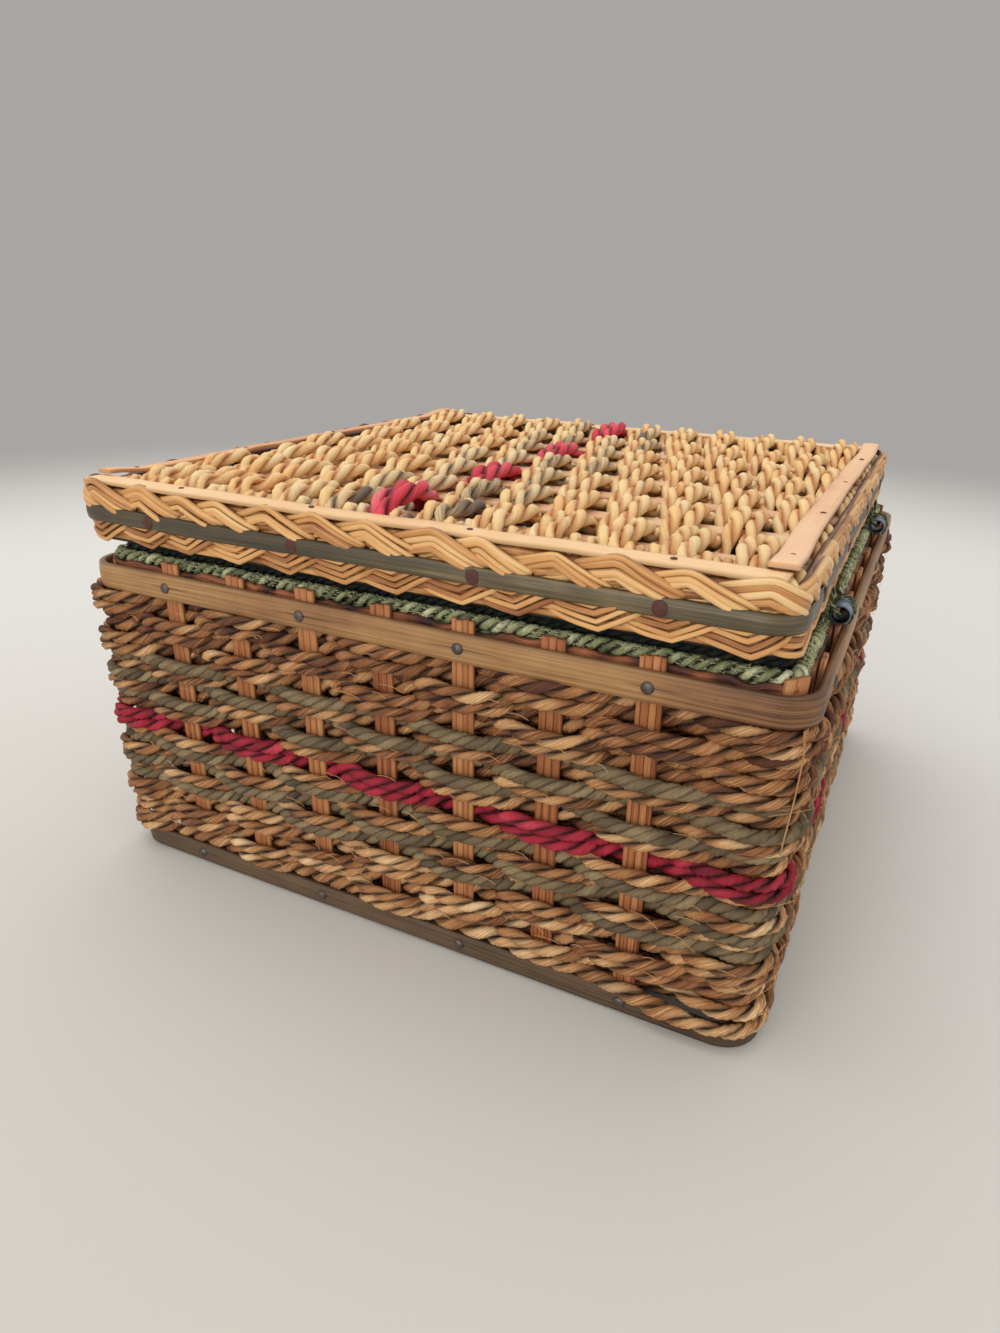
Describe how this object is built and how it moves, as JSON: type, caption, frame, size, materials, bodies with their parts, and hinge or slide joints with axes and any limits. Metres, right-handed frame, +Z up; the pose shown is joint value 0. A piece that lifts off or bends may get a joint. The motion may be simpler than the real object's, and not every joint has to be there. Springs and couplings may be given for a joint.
{
  "type": "woven lidded box",
  "caption": "Square basket-woven box of flat splints and twisted cords, bound with laths, with a woven hinged lid.",
  "frame": {"origin": "on the floor, under the middle of the box", "axes": "+Z up, +X towards the hinged edge of the lid, +Y away from the front wall"},
  "size_m": [0.2096, 0.2122, 0.12],
  "materials": {
    "stake_splint": "dry split wood with fine grooves along it",
    "straw_cord": "twisted two-ply straw cord, dry with a slight sheen",
    "olive_cord": "twisted two-ply straw cord dyed olive, over a natural one",
    "red_cord": "twisted two-ply straw cord dyed red",
    "green_cord": "twisted two-ply straw cord dyed green",
    "lid_cord": "twisted two-ply straw cord, paler and cleaner",
    "rim_lath": "weathered peeled lath with grain along it",
    "base_lath": "weathered peeled lath",
    "inner_lath": "dark red-brown bark-side lath",
    "lid_lath": "pinkish split lath",
    "frame_lath": "pale planed lath with grain",
    "grey_strip": "grey-green dyed half-round cane",
    "border_reed": "plaited split reed, slightly glossy",
    "hinge_steel": "dull blue-grey steel"
  },
  "bodies": {
    "box": {"front_back_stake_1": "stake_splint", "front_back_stake_2": "stake_splint", "front_back_stake_3": "stake_splint", "front_back_stake_4": "stake_splint", "front_back_stake_5": "stake_splint", "front_back_stake_6": "stake_splint", "front_back_stake_7": "stake_splint", "left_right_stake_1": "stake_splint", "left_right_stake_2": "stake_splint", "left_right_stake_3": "stake_splint", "left_right_stake_4": "stake_splint", "left_right_stake_5": "stake_splint", "left_right_stake_6": "stake_splint", "left_right_stake_7": "stake_splint", "corner_post_front_left": "stake_splint", "corner_post_front_right": "stake_splint", "corner_post_back_right": "stake_splint", "corner_post_back_left": "stake_splint", "weave_row_01": "straw_cord", "weave_row_02": "straw_cord", "weave_row_03": "straw_cord", "weave_row_04": "olive_cord", "weave_row_05": "olive_cord", "weave_row_06": "olive_cord", "weave_row_07": "red_cord", "weave_row_08": "olive_cord", "weave_row_09": "olive_cord", "weave_row_10": "olive_cord", "weave_row_11": "straw_cord", "weave_row_12": "straw_cord", "weave_row_13": "straw_cord", "base_lath": "base_lath", "rim_lath_outer": "rim_lath", "rim_lath_inner": "inner_lath", "collar_ledge": "green_cord", "collar_band": "green_cord", "floor_weave": "straw_cord", "hinge_tube_front": "hinge_steel", "hinge_tube_back": "hinge_steel"},
    "lid": {"skirt_upper_braid": "border_reed", "skirt_strip": "grey_strip", "skirt_lower_braid": "border_reed", "skirt_inner_band": "inner_lath", "lid_lath_1": "lid_lath", "lid_lath_2": "lid_lath", "lid_lath_3": "lid_lath", "lid_lath_4": "lid_lath", "lid_lath_5": "lid_lath", "lid_lath_6": "lid_lath", "lid_lath_7": "lid_lath", "lid_weave_left": "lid_cord", "lid_weave_red_column": "red_cord", "lid_weave_right": "lid_cord", "frame_lath_front": "frame_lath", "frame_lath_back": "frame_lath", "frame_lath_left": "frame_lath", "frame_lath_right": "frame_lath", "hinge_loop_front": "green_cord", "hinge_loop_back": "green_cord"}
  },
  "joints": [
    {"name": "lid_hinge", "type": "hinge", "parent": "box", "child": "lid", "pos_m": [0.09995, 0, 0.0993], "axis": [0, 1, 0], "range_deg": [0, 110]}
  ]
}
